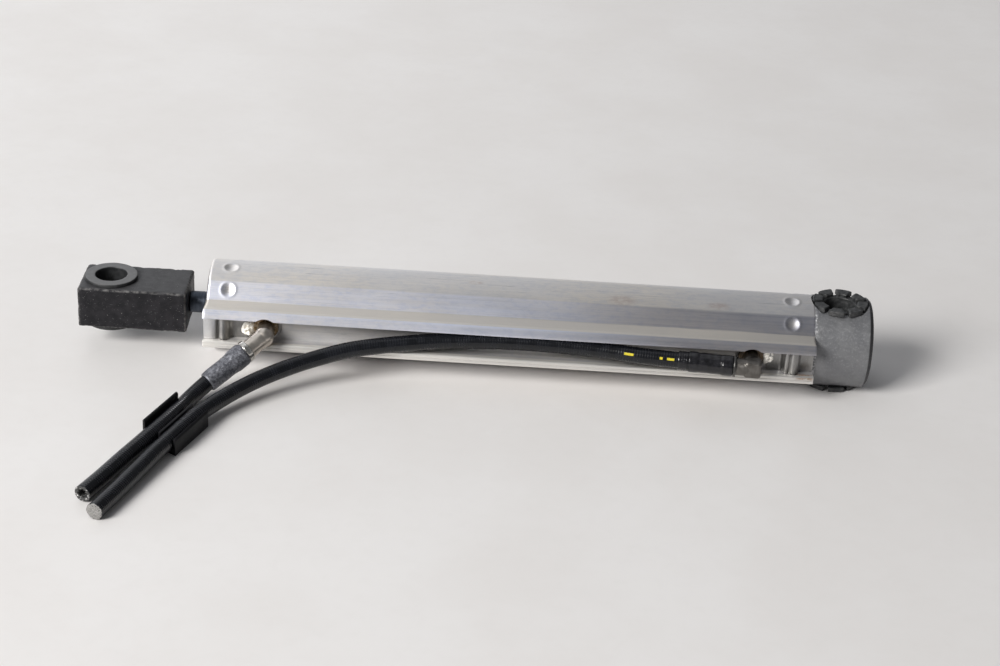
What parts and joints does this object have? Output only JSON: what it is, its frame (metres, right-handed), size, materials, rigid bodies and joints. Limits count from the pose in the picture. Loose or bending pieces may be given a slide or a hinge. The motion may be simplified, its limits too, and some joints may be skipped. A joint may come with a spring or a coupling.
{
  "type": "hydraulic linear actuator",
  "caption": "Slim double-acting hydraulic linear actuator with an extruded barrel, side hose channel, cast base eye, rod-end eye block, elbow fittings, cut hoses and a hose clip.",
  "frame": {"origin": "centre of the base eye, on the cylinder axis", "axes": "+X along the cylinder away from the rod end (the rod comes out towards -X), -Y towards the hose channel, +Z along the axes of both pin eyes"},
  "size_m": [0.3043, 0.1512, 0.0348],
  "materials": {
    "barrel_aluminium": "extruded, satin, fine lengthwise die lines and scratches",
    "cast_cap": "grey sand-cast skin, dark machined chamfer",
    "seal_rubber": "matt nitrile",
    "black_plastic": "moulded, slightly scuffed",
    "turned_aluminium": "turned",
    "bearing_bronze": "sintered bronze",
    "seal_polymer": "polyurethane",
    "clip_steel": "rolled strip",
    "rod_chrome": "ground and chromed, oil film",
    "guide_ring_phenolic": "cloth-filled resin",
    "zinc_steel": "zinc plated",
    "black_steel": "black phosphate on rolled steel, edges worn to bare metal",
    "grey_polymer": "dark grey bearing polymer",
    "nickel_elbow": "satin nickel, warm tint",
    "rear_elbow_metal": "dull grey",
    "ferrule_steel": "mottled phosphate",
    "crimp_black": "glossy black",
    "hose_black": "smooth cover over a fine braid"
  },
  "bodies": {
    "barrel": {"barrel": "barrel_aluminium", "base_cap": "cast_cap", "base_cap_o_ring": "seal_rubber", "base_bush_upper": "black_plastic", "base_bush_lower": "black_plastic", "gland": "turned_aluminium", "gland_o_ring": "seal_rubber", "gland_bearing": "bearing_bronze", "rod_seal": "seal_polymer", "rod_wiper": "seal_rubber", "rod_end_channel_clip": "clip_steel", "base_end_channel_clip": "clip_steel", "front_port_elbow": "nickel_elbow", "front_port_o_ring": "seal_rubber", "front_hose_collar": "nickel_elbow", "front_hose_ferrule": "ferrule_steel", "short_hose": "hose_black", "rear_port_elbow": "rear_elbow_metal", "rear_port_o_ring": "seal_rubber", "rear_hose_collar": "nickel_elbow", "rear_hose_ferrule": "crimp_black", "rear_hose_sleeve": "crimp_black", "long_hose": "hose_black", "hose_clip": "black_plastic"},
    "piston_seals": {"piston_seal": "seal_polymer", "piston_guide_ring_front": "guide_ring_phenolic", "piston_guide_ring_rear": "guide_ring_phenolic"},
    "rod": {"piston_rod": "rod_chrome", "piston": "turned_aluminium", "piston_o_ring": "seal_rubber", "piston_nut": "zinc_steel", "rod_end_block": "black_steel", "rod_end_bush_upper": "grey_polymer", "rod_end_bush_lower": "grey_polymer"}
  },
  "joints": [
    {"name": "rod_slide", "type": "slide", "parent": "barrel", "child": "piston_seals", "axis": [-1, 0, 0], "range_m": [0, 0.15]},
    {"name": "rod_turn", "type": "hinge", "parent": "piston_seals", "child": "rod", "pos_m": [-0.05, 0, 0], "axis": [1, 0, 0], "continuous": true}
  ]
}
